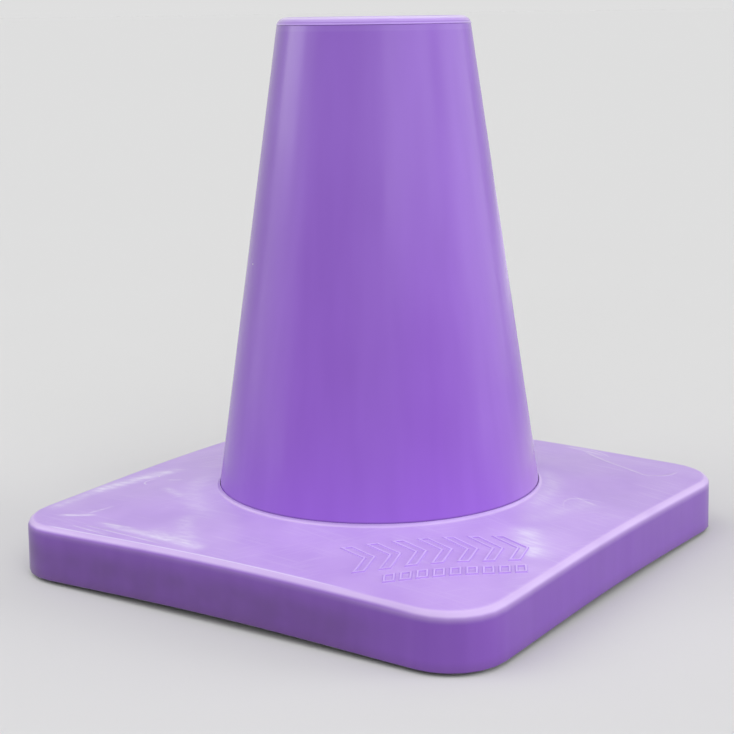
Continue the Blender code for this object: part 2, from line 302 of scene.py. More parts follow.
def build_pigment_drift():
    tree, given, result = new_group(
        "Pigment drift",
        [
            ("Colour", COLOUR, (0.3, 0.1, 0.6, 1)),
            ("Cloud Size", NUMBER, 0.05),
            ("Streak Size", NUMBER, 0.004),
            ("Drift", NUMBER, 0.05),
        ],
        [("Colour", COLOUR)],
    )
    place = where(tree)
    x, y, z = along(tree, place)
    flow = joined(tree, x, y, times(tree, z, FLOW_SQUEEZE))
    clouds = cloud(tree, place, given["Cloud Size"], 1.0)
    streaks = cloud(tree, flow, given["Streak Size"], 1.0)
    both = calc(tree, "MULTIPLY_ADD", streaks, STREAK_SHARE, times(tree, clouds, 1 - STREAK_SHARE))
    shift = times(tree, calc(tree, "SUBTRACT", both, 0.5), given["Drift"])
    tint = tree.nodes.new("ShaderNodeHueSaturation")
    feed(tree, tint.inputs["Color"], given["Colour"])
    feed(tree, tint.inputs["Value"], calc(tree, "MULTIPLY_ADD", shift, BRIGHTNESS_GAIN, 1.0))
    feed(tree, tint.inputs["Saturation"], calc(tree, "SUBTRACT", 1.0, shift))
    feed(tree, result["Colour"], tint.outputs["Color"])
    return tree


pigment_drift = build_pigment_drift()
print("group:", pigment_drift.name)

# %% [markdown]
# ## Wipe marks
#
# A cone is dropped, kicked, stacked and wiped. That leaves faint pale strokes,
# which run the same way for a few centimetres and then stop. One could draw
# them as curves, but noise that is stretched along one direction gives hundreds
# of them when only its highest lumps are kept, and a larger noise keeps them in
# patches.

# %% Group: wipe marks
STROKE_FADE = (0.50, 0.85)
PATCH_BORDER = 0.2


def build_wipe_marks():
    tree, given, result = new_group(
        "Wipe marks",
        [
            ("Heading", NUMBER, 0.5),
            ("Length", NUMBER, 0.02),
            ("Width", NUMBER, 0.0015),
            ("Patch Size", NUMBER, 0.05),
            ("Cover", NUMBER, 0.5),
        ],
        [("Mask", NUMBER)],
    )
    turn = tree.nodes.new("ShaderNodeVectorRotate")
    turn.rotation_type = "Z_AXIS"
    feed(tree, turn.inputs["Vector"], where(tree))
    feed(tree, turn.inputs["Angle"], times(tree, given["Heading"], -1.0))
    x, y, z = along(tree, turn.outputs["Vector"])
    squeeze = calc(tree, "DIVIDE", given["Width"], given["Length"])
    lumps = cloud(tree, joined(tree, times(tree, x, squeeze), y, z), given["Width"], 0.0)
    strokes = soft_step(tree, lumps, *STROKE_FADE)
    areas = cloud(tree, where(tree), given["Patch Size"], 2.0)
    border = calc(tree, "SUBTRACT", 1.0, given["Cover"])
    inside = soft_step(tree, areas, border, calc(tree, "ADD", border, PATCH_BORDER))
    feed(tree, result["Mask"], times(tree, strokes, inside))
    return tree


wipe_marks = build_wipe_marks()
print("group:", wipe_marks.name)

# %% [markdown]
# ## Bloom and painted sky reflection on what faces up
#
# Sun and rain leave a pale bloom on every face that looks at the sky, and dust
# settles in it. The same pale layer also paints in the reflection of the bright
# sky on these faces. The steep faces stay clean. The surface normal tells how far
# up a face looks, and a cloud makes the bloom a little uneven.

# %% Group: bloom and sky reflection
BLOOM_FADE = (0.75, 0.98)


def build_bloom_and_sky_reflection():
    tree, given, result = new_group(
        "Bloom and sky reflection",
        [("Patch Size", NUMBER, 0.04), ("Amount", NUMBER, 0.3), ("Evenness", NUMBER, 0.8)],
        [("Mask", NUMBER)],
    )
    lying = soft_step(tree, facing(tree)[2], *BLOOM_FADE)
    uneven = patches(tree, given["Patch Size"], given["Evenness"], 1.0)
    feed(tree, result["Mask"], times(tree, lying, uneven, given["Amount"]))
    return tree


bloom_and_sky_reflection = build_bloom_and_sky_reflection()
print("group:", bloom_and_sky_reflection.name)

# %% [markdown]
# ## Rubbed edges and painted edge highlights
#
# Rounded edges are what hands, bags and other cones rub against, so they are
# paler than the flats. The same mask also paints in the highlight that a rounded
# edge catches from the sky above it. On this part they are exactly the faces that
# lean between upright and level, so the normal finds them without any mask drawn
# on the part. The four limits are values of its upward part: the mask grows
# between the wall side and the core, and fades between the shoulder and the top
# side.

# %% Group: rubbed and highlit edge
RUB_PATCHES = (0.25, 0.65, 0.8, 1.0)


def build_rubbed_and_highlit_edge():
    tree, given, result = new_group(
        "Rubbed and highlit edge",
        [
            ("Patch Size", NUMBER, 0.02),
            ("Amount", NUMBER, 0.5),
            ("Wall Side", NUMBER, 0.3),
            ("Core", NUMBER, 0.5),
            ("Shoulder", NUMBER, 0.8),
            ("Top Side", NUMBER, 0.97),
        ],
        [("Mask", NUMBER)],
    )
    upward = facing(tree)[2]
    past_wall = soft_step(tree, upward, given["Wall Side"], given["Core"])
    short_of_top = soft_step(tree, upward, given["Shoulder"], given["Top Side"], 1.0, 0.0)
    rubs = soft_step(tree, cloud(tree, where(tree), given["Patch Size"], 1.0), *RUB_PATCHES)
    # Wear and a painted highlight on the faces between upright and level.
    feed(tree, result["Mask"], times(tree, past_wall, short_of_top, rubs, given["Amount"]))
    return tree


rubbed_and_highlit_edge = build_rubbed_and_highlit_edge()
print("group:", rubbed_and_highlit_edge.name)

# %% [markdown]
# ## Specks
#
# A few pale grains cling to the vinyl. A Voronoi texture scatters one point in
# every cell of a grid. Most cells are switched off by their own random value,
# and the rest show a dot about a millimetre wide.

# %% Group: specks
SPECK_CORE = 0.6


def build_specks():
    tree, given, result = new_group(
        "Specks",
        [("Spacing", NUMBER, 0.012), ("Speck Radius", NUMBER, 0.0004), ("Share", NUMBER, 0.2)],
        [("Mask", NUMBER)],
    )
    cells = tree.nodes.new("ShaderNodeTexVoronoi")
    feed(tree, cells.inputs["Vector"], where(tree))
    feed(tree, cells.inputs["Scale"], calc(tree, "DIVIDE", 1.0, given["Spacing"]))
    reach = calc(tree, "DIVIDE", given["Speck Radius"], given["Spacing"])
    dot = soft_step(tree, cells.outputs["Distance"], times(tree, reach, SPECK_CORE), reach, 1.0, 0.0)
    chance = along(tree, cells.outputs["Color"])[0]
    kept = calc(tree, "LESS_THAN", chance, given["Share"])
    feed(tree, result["Mask"], times(tree, dot, kept))
    return tree


specks = build_specks()
print("group:", specks.name)

# %% [markdown]
# ## Soft folds
#
# Soft vinyl that has lain under a load keeps gentle folds. The base top shows
# several: a curved crease near the right corner, a long swell behind the front
# left edge. One group makes one fold: it turns the place into distances along
# and across the fold, bends it, and gives a rounded ridge that fades at both
# ends. The same mask later carries a painted sheen: the pale highlight that such
# a fold catches.

# %% Group: soft fold
FOLD_STEEPNESS = 2.5
FOLD_ENDS = (0.25, 0.5, 1.0, 0.0)


def build_soft_fold():
    tree, given, result = new_group(
        "Soft fold",
        [
            ("Centre X", NUMBER, 0.0),
            ("Centre Y", NUMBER, 0.0),
            ("Heading", NUMBER, 0.0),
            ("Length", NUMBER, 0.05),
            ("Width", NUMBER, 0.005),
            ("Bend", NUMBER, 0.0),
        ],
        [("Mask", NUMBER)],
    )
    x, y = along(tree, where(tree))[:2]
    from_x = calc(tree, "SUBTRACT", x, given["Centre X"])
    from_y = calc(tree, "SUBTRACT", y, given["Centre Y"])
    turned_x = calc(tree, "COSINE", given["Heading"])
    turned_y = calc(tree, "SINE", given["Heading"])
    ahead = calc(tree, "ADD", times(tree, from_x, turned_x), times(tree, from_y, turned_y))
    aside = calc(tree, "SUBTRACT", times(tree, from_y, turned_x), times(tree, from_x, turned_y))
    bow = times(tree, ahead, ahead, given["Bend"])
    across = calc(tree, "DIVIDE", calc(tree, "SUBTRACT", aside, bow), given["Width"])
    profile = calc(tree, "EXPONENT", times(tree, across, across, -FOLD_STEEPNESS))
    run = calc(tree, "DIVIDE", calc(tree, "ABSOLUTE", ahead), given["Length"])
    feed(tree, result["Mask"], times(tree, profile, soft_step(tree, run, *FOLD_ENDS)))
    return tree


soft_fold = build_soft_fold()
print("group:", soft_fold.name)

# %% [markdown]
# ## The sleeve's vinyl
#
# The sleeve is mid purple, a little greyer towards the top and more saturated
# near the base, where the colour is painted bounce light from the lilac base top.
# It is satin rather than glossy: reflections have soft borders. The rounded rim
# is rubbed pale and carries a painted highlight of the sky, with a painted shade
# line and a painted highlight line where the mould's parting runs under it, and
# its flat top has gone dull. At the foot lie a dark seam, where the sleeve goes
# into the base, in dirt and painted shade, and a pale haze on the right side,
# which is a painted reflection of the base top.
#
# The Principled shader's own sockets take what is the same all over. Only
# colour, roughness and bump come from nodes. Each layer of colour is blended
# over the one before, by its own mask. The roughness drifts, but stays below
# 0.27 on the wall and above it on the cover: the denoiser would draw a contour
# line where a smooth surface crosses that value. Only the rim's dull top is
# past it, and there a real edge lies in between.

# %% Material helpers
LINE_BORDER_SHARES = (0.6, 1.4)


def new_finish(title, ior):
    """A material with one Principled shader, set to an index of refraction."""
    finish = bpy.data.materials.new(title)
    finish.use_nodes = True
    shader = finish.node_tree.nodes["Principled BSDF"]
    shader.inputs["IOR"].default_value = ior
    return finish, finish.node_tree, shader


def bump(tree, shader, height):
    """Turns a height in metres into the shader's normal."""
    node = tree.nodes.new("ShaderNodeBump")
    node.inputs["Strength"].default_value = 1.0
    node.inputs["Distance"].default_value = 1.0
    feed(tree, node.inputs["Height"], height)
    tree.links.new(node.outputs["Normal"], shader.inputs["Normal"])


def dress(node, finish):
    """Gives a CAD node one finish all over."""
    node.data.materials.clear()
    node.data.materials.append(finish)


def level_line(tree, height, middle, half):
    """1 at a height, fading to 0 about half a line's width from it."""
    off_line = calc(tree, "ABSOLUTE", calc(tree, "SUBTRACT", height, middle))
    inner, outer = (half * share for share in LINE_BORDER_SHARES)
    return soft_step(tree, off_line, inner, outer, 1.0, 0.0)


print("material helpers ready")

# %% The rim's round and lines
# The rim's paleness is wear with a painted sky highlight on its round; the faint band below it is painted
# light.
RIM_WORN_AND_HIGHLIGHT_LILAC = (0.500, 0.340, 0.780, 1)
RIM_HIGHLIGHT_LILAC = (0.790, 0.680, 0.950, 1)
# A painted shade line and a painted highlight line under the rim, where the mould's parting runs.
RIM_SHADE_LINE_COLOUR = (0.300, 0.160, 0.600, 1)
RIM_HIGHLIGHT_LINE_COLOUR = (0.480, 0.300, 0.800, 1)
RIM_SHADE_LINE_HEIGHT = 0.2972
RIM_HIGHLIGHT_LINE_HEIGHT = 0.2966
RIM_LINE_HALF = 0.0003
RIM_LINE_SHARE = 0.7
RIM_BAND_HEIGHT = 0.2928
RIM_BAND_SHARE = 0.035
ROUND_FADE = (0.66, 0.97, 0.0, 0.75)
FLAT_FADE = (0.98, 1.0, 1.0, 0.15)
RIM_RUBS_AND_HIGHLIGHT = dict(Patch_Size=0.02, Amount=0.85, Wall_Side=0.2, Core=0.4, Shoulder=0.97, Top_Side=1.03)


def rim_colour(tree, body, height):
    """The rim's pale round, worn and with a painted sky highlight, the painted shade line and painted
    highlight line under it, and the faintly paler band below them, painted light as well.
    """
    upward = facing(tree)[2]
    band_edges = (RIM_BAND_HEIGHT - RIM_LINE_HALF, RIM_BAND_HEIGHT + RIM_LINE_HALF)
    # Painted shade line and painted highlight line under the rim.
    shade_line = level_line(tree, height, RIM_SHADE_LINE_HEIGHT, RIM_LINE_HALF)
    highlight_line = level_line(tree, height, RIM_HIGHLIGHT_LINE_HEIGHT, RIM_LINE_HALF)
    # A painted sky highlight on the rim's round, weaker on its flat top.
    top = times(tree, soft_step(tree, upward, *ROUND_FADE), soft_step(tree, upward, *FLAT_FADE))
    layers = (
        (soft_step(tree, height, *band_edges, 0.0, RIM_BAND_SHARE), RIM_HIGHLIGHT_LILAC),
        (use(tree, rubbed_and_highlit_edge, **RIM_RUBS_AND_HIGHLIGHT)["Mask"], RIM_WORN_AND_HIGHLIGHT_LILAC),
        (top, RIM_HIGHLIGHT_LILAC),
        (times(tree, shade_line, RIM_LINE_SHARE), RIM_SHADE_LINE_COLOUR),
        (times(tree, highlight_line, RIM_LINE_SHARE), RIM_HIGHLIGHT_LINE_COLOUR),
    )
    for mask, colour in layers:
        body = blend(tree, mask, body, colour)
    return body


print("rim lines at %.1f and %.1f mm" % (RIM_SHADE_LINE_HEIGHT * 1000, RIM_HIGHLIGHT_LINE_HEIGHT * 1000))

# %% Reflection haze and shaded seam at the sleeve's foot
HAZE_UP_FADE = (0.050, 0.105, 1.0, 0.0)
HAZE_FRONT_FADE = (-0.030, 0.035, 0.0, 0.25)
HAZE_BACK_FADE = (0.040, 0.075, 1.0, 0.0)
HAZE_RIGHT_FADE = (0.0, 0.03)
SEAM_HEIGHT = 0.0426
SEAM_BORDER = 0.0006
SEAM_SHARE = 0.70
SEAM_FADE = (0.0, 0.08)


def foot_reflection_haze(tree):
    """A pale haze low on the right side: a painted reflection of the pale base top."""
    x, y, z = along(tree, where(tree))
    low = soft_step(tree, z, *HAZE_UP_FADE)
    from_front = soft_step(tree, y, *HAZE_FRONT_FADE)
    short_of_back = soft_step(tree, y, *HAZE_BACK_FADE)
    return times(tree, low, from_front, short_of_back, soft_step(tree, x, *HAZE_RIGHT_FADE))


def foot_seam_dirt_and_shade(tree):
    """The dark seam where the sleeve goes into the base, on the side of the front corner: dirt and painted
    shade.
    """
    x, y, z = along(tree, where(tree))
    low = soft_step(tree, z, SEAM_HEIGHT, SEAM_HEIGHT + SEAM_BORDER, SEAM_SHARE, 0.0)
    return times(tree, low, soft_step(tree, calc(tree, "SUBTRACT", x, y), *SEAM_FADE))


print("seam up to %.1f mm, haze up to %.0f mm" % (SEAM_HEIGHT * 1000, HAZE_UP_FADE[1] * 1000))

# %% Sleeve vinyl
SLEEVE_PURPLE = (0.274, 0.101, 0.590, 1)
UPPER_PURPLE = (0.288, 0.122, 0.610, 1)
SEAM_DIRT_AND_SHADE = (0.150, 0.060, 0.340, 1)
REFLECTION_HAZE_LILAC = (0.700, 0.520, 0.720, 1)
SPECK_WHITE = (0.850, 0.830, 0.800, 1)
VINYL_IOR = 1.53
UPPER_FADE = (0.08, 0.30)
DULL_FADE = (0.985, 0.998, 0.0, 0.35)
SLEEVE_DRIFT = dict(Cloud_Size=0.07, Streak_Size=0.010, Drift=0.045)
SLEEVE_SPECKS = dict(Spacing=0.022, Speck_Radius=0.0005, Share=0.10)
SLEEVE_GLOSS = dict(size=0.035, low=0.20, high=0.26, detail=0.5)
SLEEVE_GRAIN = dict(Grain_Size=0.0007, Grain_Height=0.000012, Ripple_Size=0.045, Ripple_Height=0.00022)


def make_sleeve_vinyl():
    finish, tree, shader = new_finish("sleeve_vinyl", VINYL_IOR)
    height = along(tree, where(tree))[2]
    # Greyer towards the top; the saturated purple near the base is painted bounce light from the lilac
    # base top.
    body = blend(tree, soft_step(tree, height, *UPPER_FADE), SLEEVE_PURPLE, UPPER_PURPLE)
    body = use(tree, pigment_drift, Colour=body, **SLEEVE_DRIFT)["Colour"]
    # A painted reflection of the pale base top, low on the right side.
    body = blend(tree, foot_reflection_haze(tree), body, REFLECTION_HAZE_LILAC)
    body = rim_colour(tree, body, height)
    # Dirt and painted shade in the seam at the sleeve's foot.
    body = blend(tree, foot_seam_dirt_and_shade(tree), body, SEAM_DIRT_AND_SHADE)
    body = blend(tree, use(tree, specks, **SLEEVE_SPECKS)["Mask"], body, SPECK_WHITE)
    feed(tree, shader.inputs["Base Color"], body)
    dull_top = soft_step(tree, facing(tree)[2], *DULL_FADE)
    feed(tree, shader.inputs["Roughness"], calc(tree, "ADD", patches(tree, **SLEEVE_GLOSS), dull_top))
    bump(tree, shader, use(tree, moulded_grain, **SLEEVE_GRAIN)["Height"])
    return finish


dress(sleeve, make_sleeve_vinyl())
print("sleeve:", sleeve.data.materials[0].name)

# %% [markdown]
# ## The cover's vinyl
#
# The base takes the wear. Its top has a pale bloom with a painted sky reflection
# in it, its rounded edge is rubbed and carries a painted highlight, and its folds
# catch the light in a painted sheen. Folds and smears are listed by place,
# heading and size, in metres, radians and the part's own frame: X runs towards
# the right face and Y away from the front left one. The sheen is the share of
# white, a painted highlight, that each one adds.

# %% Folds and smears on the cover
# The sheen column is a painted highlight, the pale light each fold catches; on the smears it is partly
# scuffing, and the veils, with almost no height, are painted reflections.
# name, centre x, centre y, heading, length, width, bend, height, sheen
FOLDS = (
    ("crease", 0.0887, 0.1178, -0.52, 0.078, 0.0018, 2.7, 0.00035, 0.55),
    ("crease end", 0.1252, 0.1117, 0.97, 0.032, 0.0015, 31.0, 0.00030, 0.45),
    ("crease start", 0.0629, 0.1374, -0.24, 0.034, 0.0034, -5.3, 0.00040, 0.50),
    ("second crease", 0.0682, 0.1410, -0.32, 0.034, 0.0014, -20.0, 0.00020, 0.50),
    ("right bow", 0.1070, 0.0300, 1.17, 0.034, 0.0012, -55.0, 0.00012, 0.35),
    ("right veil", 0.1120, 0.0080, 1.30, 0.070, 0.0100, 0.0, 0.00005, 0.25),
    ("right strokes", 0.1140, 0.0331, -0.26, 0.020, 0.0012, 0.0, 0.00005, 0.35),
    ("bright spot", 0.1222, -0.0450, -0.95, 0.050, 0.0120, 0.0, 0.00010, 0.70),
    ("left smear", -0.1160, -0.1260, 0.34, 0.026, 0.0022, 4.0, 0.00010, 0.80),
    ("second left smear", -0.1092, -0.1142, 1.19, 0.018, 0.0018, 0.0, 0.00005, 0.50),
    ("front swell", -0.0567, -0.1345, -0.09, 0.090, 0.0045, 0.0, 0.00025, 0.50),
    ("front swell end", -0.0400, -0.1335, -0.20, 0.056, 0.0085, 0.0, 0.00005, 0.40),
    ("front stroke", -0.0820, -0.1300, 0.03, 0.028, 0.0010, 0.0, 0.00005, 0.45),
    ("front line", -0.0719, -0.1392, -0.09, 0.070, 0.0012, -0.2, 0.00020, 0.45),
    ("outer front line", -0.0928, -0.1416, -0.15, 0.036, 0.0010, 0.0, 0.00010, 0.45),
    ("back swell", -0.1340, -0.0583, 1.28, 0.070, 0.0095, -3.9, 0.00030, 0.75),
    ("back stroke", -0.1079, -0.0530, 0.10, 0.012, 0.0014, 0.0, 0.00005, 0.50),
    ("left corner veil", -0.1400, -0.1000, 1.57, 0.060, 0.0070, 0.0, 0.00010, 0.40),
    ("little bow", -0.1239, -0.0606, -1.28, 0.014, 0.0010, 97.0, 0.00010, 0.75),
    ("centre veil", -0.0430, -0.1200, -0.80, 0.050, 0.0080, 0.0, 0.00005, 0.32),
    ("small veil", -0.0910, -0.0750, -0.50, 0.034, 0.0040, 0.0, 0.00005, 0.35),
    ("left foot veil", -0.0740, -0.0770, -0.86, 0.100, 0.0100, 5.0, 0.00005, 0.25),
    ("right foot veil", 0.0920, 0.0340, 1.92, 0.090, 0.0080, 5.0, 0.00005, 0.35),
)


def add_folds(tree, height, sheen):
    """Adds every listed fold to a height and to a sheen mask."""
    for name, x, y, heading, length, width, bend, rise, shine in FOLDS:
        mask = use(
            tree, soft_fold, Centre_X=x, Centre_Y=y, Heading=heading, Length=length, Width=width, Bend=bend
        )["Mask"]
        height = calc(tree, "MULTIPLY_ADD", mask, rise, height)
        sheen = calc(tree, "MULTIPLY_ADD", mask, shine, sheen)
    return height, sheen


print("folds:", [fold[0] for fold in FOLDS])

# %% [markdown]
# ## The sides of the cover
#
# The sides are darker and less blue than the rest: earth and grass rub off on
# them, and the rest of the darkness is painted shade from the grass round the
# base. The front left side is darker still, more so towards the hem, again dirt
# and painted shade, and the hem itself is darkened by painted shade. Just under
# the rounded edge the pale band of the edge fades out, wear with a painted
# highlight, and there is less of it on the front left. The edge is arched in the
# middle of each side, and the group takes the arch into account to tell how far
# below it a point lies.

# %% Group: depth below the edge
def build_edge_depth():
    tree, given, result = new_group(
        "Depth below the edge",
        [("Edge Height", NUMBER, 0.0275), ("Half Side", NUMBER, 0.1497), ("Arch", NUMBER, 0.0025)],
        [("Depth", NUMBER)],
    )
    x, y, z = along(tree, where(tree))
    near = calc(tree, "MINIMUM", calc(tree, "ABSOLUTE", x), calc(tree, "ABSOLUTE", y))
    share = calc(tree, "DIVIDE", near, given["Half Side"])
    fall = calc(tree, "SUBTRACT", 1.0, times(tree, share, share))
    arch = times(tree, fall, fall, given["Arch"])
    feed(tree, result["Depth"], calc(tree, "SUBTRACT", calc(tree, "ADD", given["Edge Height"], arch), z))
    return tree


edge_depth = build_edge_depth()
print("group:", edge_depth.name)

# %% Colour of the sides
# The sides' darker colours are dirt with painted shade; the hem's is painted shade.
SIDE_DIRT_AND_SHADE_PURPLE = (0.232, 0.090, 0.487, 1)
GRIME_AND_SHADE_PURPLE = (0.153, 0.064, 0.290, 1)
HEM_SHADE = (0.110, 0.050, 0.150, 1)
# Wear with a painted highlight, for the rounded edge and just under it.
EDGE_WEAR_AND_HIGHLIGHT_LILAC = (0.640, 0.490, 0.820, 1)
SIDE_FACING_FADE = (-0.4, -0.9)
SIDE_CORNER_FADE = (0.13, 0.06)
SIDE_BLOTS = dict(size=0.016, low=0.75, high=1.0)
GRIME_AND_SHADE_FADE = (0.0, 0.012, 0.4, 1.0)
HEM_SHADE_FADE = (0.019, 0.0255, 0.0, 0.30)
UNDER_EDGE_HIGHLIGHT_FADE = (-0.001, 0.002, 1.0, 0.0)
UNDER_EDGE_HIGHLIGHT_SHARE = 0.34
FRONT_LEFT_CUT = 0.6


def on_front_left(tree, facing_fade, corner_fade):
    """1 on what faces the front left, and 0 near the front corner."""
    sideways = soft_step(tree, facing(tree)[1], *facing_fade)
    return times(tree, sideways, soft_step(tree, along(tree, where(tree))[0], *corner_fade))


def side_colour(tree):
    """The darker upright sides, dirt and painted shade, darkest on the front left one and near the hem."""
    depth = use(tree, edge_depth)["Depth"]
    front_left = on_front_left(tree, SIDE_FACING_FADE, SIDE_CORNER_FADE)
    # Painted shade with some dirt on the front left side, growing below the edge.
    grime_and_shade = times(tree, front_left, patches(tree, **SIDE_BLOTS), soft_step(tree, depth, *GRIME_AND_SHADE_FADE))
    colour = blend(tree, grime_and_shade, SIDE_DIRT_AND_SHADE_PURPLE, GRIME_AND_SHADE_PURPLE)
    # Painted shade towards the hem.
    colour = blend(tree, soft_step(tree, depth, *HEM_SHADE_FADE), colour, HEM_SHADE)
    # A painted highlight with wear, fading out just under the rounded edge, weaker on the front left.
    left_over = calc(tree, "MULTIPLY_ADD", front_left, -FRONT_LEFT_CUT, 1.0)
    under_edge_highlight = times(tree, soft_step(tree, depth, *UNDER_EDGE_HIGHLIGHT_FADE), left_over, UNDER_EDGE_HIGHLIGHT_SHARE)
    return blend(tree, under_edge_highlight, colour, EDGE_WEAR_AND_HIGHLIGHT_LILAC)


print("grime is full %.0f mm below the edge" % (GRIME_AND_SHADE_FADE[1] * 1000))

# %% [markdown]
# ## The edge and the top of the cover
#
# The rounded edge is pale all round, wear with a painted highlight. On the front
# left it is narrower, and a painted highlight hairline marks where the top
# begins. The flare round the sleeve is pale in front only, a painted highlight,
# so the limits of the rubbed and highlit edge depend on the place.
#
# The bloom on the top, with its painted sky reflection, is strongest along the
# diagonal to the front corner. Wipe marks with two headings lie over it, and
# the painted sheen of the folds is broken up in short strokes, as if it had
# been brushed.

# %% The pale edge and its hairline
EDGE_FACING_FADE = (-0.05, -0.30)
EDGE_CORNER_FADE = (0.13, 0.09)
FLARE_FADE = (0.098, 0.102, 1.0, 0.0)
FLARE_FRONT_FADE = (-0.015, 0.030)
SKIRT_WALL_SIDE = 0.15
SKIRT_CORE = 0.56
FLARE_WALL_SIDE = -0.40
FLARE_CORE = 0.93
FRONT_NARROWING = 0.14
EDGE_RUBS_AND_HIGHLIGHT = dict(Patch_Size=0.03, Amount=0.90, Shoulder=0.90, Top_Side=0.995)
HAIRLINE_PLACE = 0.1457
HAIRLINE_HALF = 0.0005
HAIRLINE_START = (-0.122, -0.112)
HAIRLINE_END = (0.09, 0.055)


def cover_edge(tree):
    """The pale edge, wear and a painted highlight: the whole round along the skirt, and the front of the
    flare.
    """
    x, y = along(tree, where(tree))[:2]
    from_axis = calc(tree, "SQRT", calc(tree, "ADD", times(tree, x, x), times(tree, y, y)))
    at_flare = soft_step(tree, from_axis, *FLARE_FADE)
    at_skirt = calc(tree, "SUBTRACT", 1.0, at_flare)
    front_left = on_front_left(tree, EDGE_FACING_FADE, EDGE_CORNER_FADE)
    narrower = times(tree, front_left, at_skirt, FRONT_NARROWING)
    wall_side = calc(tree, "MULTIPLY_ADD", at_flare, FLARE_WALL_SIDE - SKIRT_WALL_SIDE, SKIRT_WALL_SIDE)
    core = calc(tree, "MULTIPLY_ADD", at_flare, FLARE_CORE - SKIRT_CORE, SKIRT_CORE)
    limits = dict(
        Wall_Side=calc(tree, "ADD", wall_side, narrower),
        Core=calc(tree, "ADD", core, narrower),
    )
    # Only the front of the flare gets the pale edge: a painted highlight.
    in_front = soft_step(tree, calc(tree, "SUBTRACT", x, y), *FLARE_FRONT_FADE)
    kept = calc(tree, "ADD", at_skirt, times(tree, at_flare, in_front))
    return times(tree, use(tree, rubbed_and_highlit_edge, **limits, **EDGE_RUBS_AND_HIGHLIGHT)["Mask"], kept)


def edge_highlight_hairline(tree):
    """A painted highlight hairline where the top meets the round of the front left edge."""
    x, y = along(tree, where(tree))[:2]
    on_line = level_line(tree, times(tree, y, -1.0), HAIRLINE_PLACE, HAIRLINE_HALF)
    return times(tree, on_line, soft_step(tree, x, *HAIRLINE_START), soft_step(tree, x, *HAIRLINE_END))


print("hairline %.1f mm from the middle" % (HAIRLINE_PLACE * 1000))

# %% Bloom, marks and sheen on the top
COVER_BLOOM_AND_REFLECTION = dict(Patch_Size=0.028, Amount=0.71, Evenness=0.82)
DIAGONAL_FADE = (0.05, 0.22, 1.0, 0.83)
FRONT_MARKS = dict(Heading=-0.1, Length=0.03, Width=0.0022, Patch_Size=0.04, Cover=0.62)
RIGHT_MARKS = dict(Heading=1.0, Length=0.02, Width=0.0014, Patch_Size=0.05, Cover=0.55)
MARK_SHARE = 0.15
SHEEN_SQUEEZE = 0.35
SHEEN_STROKE = 0.0030
SHEEN_FADE = (0.35, 0.65, 0.55, 1.1)


def top_bloom_and_reflection(tree):
    """The bloom with its painted sky reflection, a little weaker towards the left and right corners."""
    x, y = along(tree, where(tree))[:2]
    # The painted sky reflection fades towards the left and right corners.
    off_diagonal = soft_step(tree, calc(tree, "ABSOLUTE", calc(tree, "ADD", x, y)), *DIAGONAL_FADE)
    return times(tree, use(tree, bloom_and_sky_reflection, **COVER_BLOOM_AND_REFLECTION)["Mask"], off_diagonal)


def top_marks(tree, lying):
    """Wipe marks with two headings, on what lies flat."""
    front = use(tree, wipe_marks, **FRONT_MARKS)["Mask"]
    right = use(tree, wipe_marks, **RIGHT_MARKS)["Mask"]
    return times(tree, calc(tree, "MAXIMUM", front, right), lying, MARK_SHARE)


def top_sheen(tree, sheen, lying):
    """The folds' painted sheen, broken up in short strokes and kept to what lies flat."""
    x, y, z = along(tree, where(tree))
    strokes = cloud(tree, joined(tree, times(tree, x, SHEEN_SQUEEZE), y, z), SHEEN_STROKE, 2.0)
    broken = times(tree, sheen, soft_step(tree, strokes, *SHEEN_FADE), lying)
    return calc(tree, "MINIMUM", broken, 1.0)


print("bloom up to %.2f, marks up to %.2f" % (COVER_BLOOM_AND_REFLECTION["Amount"], MARK_SHARE))

# %% Cover vinyl
COVER_PURPLE = (0.285, 0.112, 0.600, 1)
# Lilac for the bloom with its painted sky reflection; white for wipe marks, painted sheen and the painted
# hairline.
BLOOM_AND_REFLECTION_LILAC = (0.700, 0.520, 0.930, 1)
WIPE_AND_HIGHLIGHT_WHITE = (0.800, 0.740, 0.940, 1)
TOP_FADE = (0.1, 0.6)
LYING_FADE = (0.7, 0.95)
HAIRLINE_HIGHLIGHT_SHARE = 0.6
COVER_DRIFT = dict(Cloud_Size=0.04, Streak_Size=0.008, Drift=0.05)
COVER_SPECKS = dict(Spacing=0.018, Speck_Radius=0.0006, Share=0.16)
COVER_GLOSS = dict(size=0.03, low=0.29, high=0.37, detail=0.5)
COVER_GRAIN = dict(Grain_Size=0.0008, Grain_Height=0.000016, Ripple_Size=0.035, Ripple_Height=0.00030)


def cover_colour(tree, sheen):
    """The sides and the top, with each layer blended over the one before."""
    upward = facing(tree)[2]
    lying = soft_step(tree, upward, *LYING_FADE)
    # The sides take the darker colour with its painted shade, what faces up the plain purple.
    body = blend(tree, soft_step(tree, upward, *TOP_FADE), side_colour(tree), COVER_PURPLE)
    body = use(tree, pigment_drift, Colour=body, **COVER_DRIFT)["Colour"]
    # Layers: bloom with painted sky reflection, wipe marks, painted sheen, worn edge with painted
    # highlight, painted highlight hairline, specks.
    layers = (
        (top_bloom_and_reflection(tree), BLOOM_AND_REFLECTION_LILAC),
        (top_marks(tree, lying), WIPE_AND_HIGHLIGHT_WHITE),
        (top_sheen(tree, sheen, lying), WIPE_AND_HIGHLIGHT_WHITE),
        (cover_edge(tree), EDGE_WEAR_AND_HIGHLIGHT_LILAC),
        (times(tree, edge_highlight_hairline(tree), HAIRLINE_HIGHLIGHT_SHARE), WIPE_AND_HIGHLIGHT_WHITE),
        (use(tree, specks, **COVER_SPECKS)["Mask"], SPECK_WHITE),
    )
    for mask, colour in layers:
        body = blend(tree, mask, body, colour)
    return body


